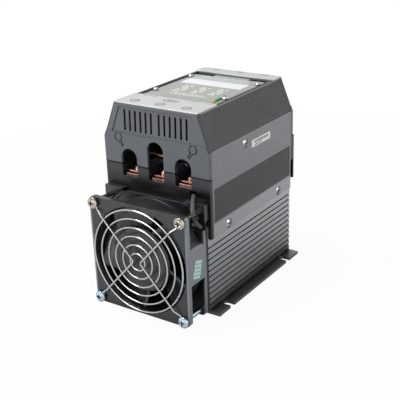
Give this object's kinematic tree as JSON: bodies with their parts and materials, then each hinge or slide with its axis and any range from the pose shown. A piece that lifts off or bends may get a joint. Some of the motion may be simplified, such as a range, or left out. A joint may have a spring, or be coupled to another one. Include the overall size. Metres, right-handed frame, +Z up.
{
  "type": "thyristor power regulator",
  "caption": "Fan-cooled power regulator: finned heatsink with slotted feet, ribbed side covers, end covers with vents and cable arches, and a guarded axial fan.",
  "frame": {"origin": "centre of the four mounting slots, on the mounting plane under the two feet", "axes": "+Z up from the mounting plane, -Y towards the fan and the line terminals, +X to the right seen from the fan"},
  "size_m": [0.1114, 0.164, 0.1625],
  "materials": {
    "anodised_aluminium": "matte",
    "cover_aluminium": "satin",
    "zinc_steel": "satin",
    "grey_plastic": "matte",
    "black_plastic": "matte",
    "black_steel": "satin",
    "fan_plastic": "satin",
    "silver_plate": "satin",
    "panel_paint": "matte",
    "copper": "satin",
    "module_plastic": "satin",
    "lamp_yellow": "gloss",
    "lamp_green": "gloss",
    "lamp_red": "gloss",
    "board_laminate": "satin",
    "coil_core": "satin",
    "bright_wire": "polished",
    "lead_sleeve": "matte"
  },
  "bodies": {
    "body": {"heatsink": "anodised_aluminium", "side_cover_left": "cover_aluminium", "side_cover_right": "cover_aluminium", "side_cover_screws": "zinc_steel", "panel_screws": "zinc_steel", "module_screws": "zinc_steel", "board_standoffs": "zinc_steel", "bracket_left": "zinc_steel", "bracket_right": "zinc_steel", "guard_screws": "zinc_steel", "front_cover": "grey_plastic", "rear_cover": "grey_plastic", "front_terminal_base": "black_plastic", "rear_terminal_base": "black_plastic", "lead_tie": "black_plastic", "fan_plate": "black_steel", "panel_washers": "black_steel", "fan_frame": "fan_plastic", "front_top_plate": "silver_plate", "rear_top_plate": "silver_plate", "control_panel": "panel_paint", "line_bar_1": "copper", "line_bar_2": "copper", "line_bar_3": "copper", "load_bar_1": "copper", "load_bar_2": "copper", "load_bar_3": "copper", "line_bolts": "copper", "line_washers": "copper", "load_bolts": "copper", "load_washers": "copper", "copper_strip": "copper", "thyristor_module_1": "module_plastic", "thyristor_module_2": "module_plastic", "thyristor_module_3": "module_plastic", "thermal_switch": "module_plastic", "led_yellow": "lamp_yellow", "led_green_front": "lamp_green", "led_green_rear": "lamp_green", "led_red": "lamp_red", "control_board": "board_laminate", "board_transformer": "coil_core", "fan_stator": "coil_core", "finger_guard": "bright_wire", "fan_bearings": "bright_wire", "fan_lead": "lead_sleeve"},
    "rotor": {"fan_rotor": "fan_plastic", "fan_rotor_ring": "zinc_steel", "fan_shaft": "bright_wire"}
  },
  "joints": [
    {"name": "fan_spin", "type": "hinge", "parent": "body", "child": "rotor", "pos_m": [0, -0.0778, 0.0464], "axis": [0, -1, 0], "continuous": true}
  ]
}
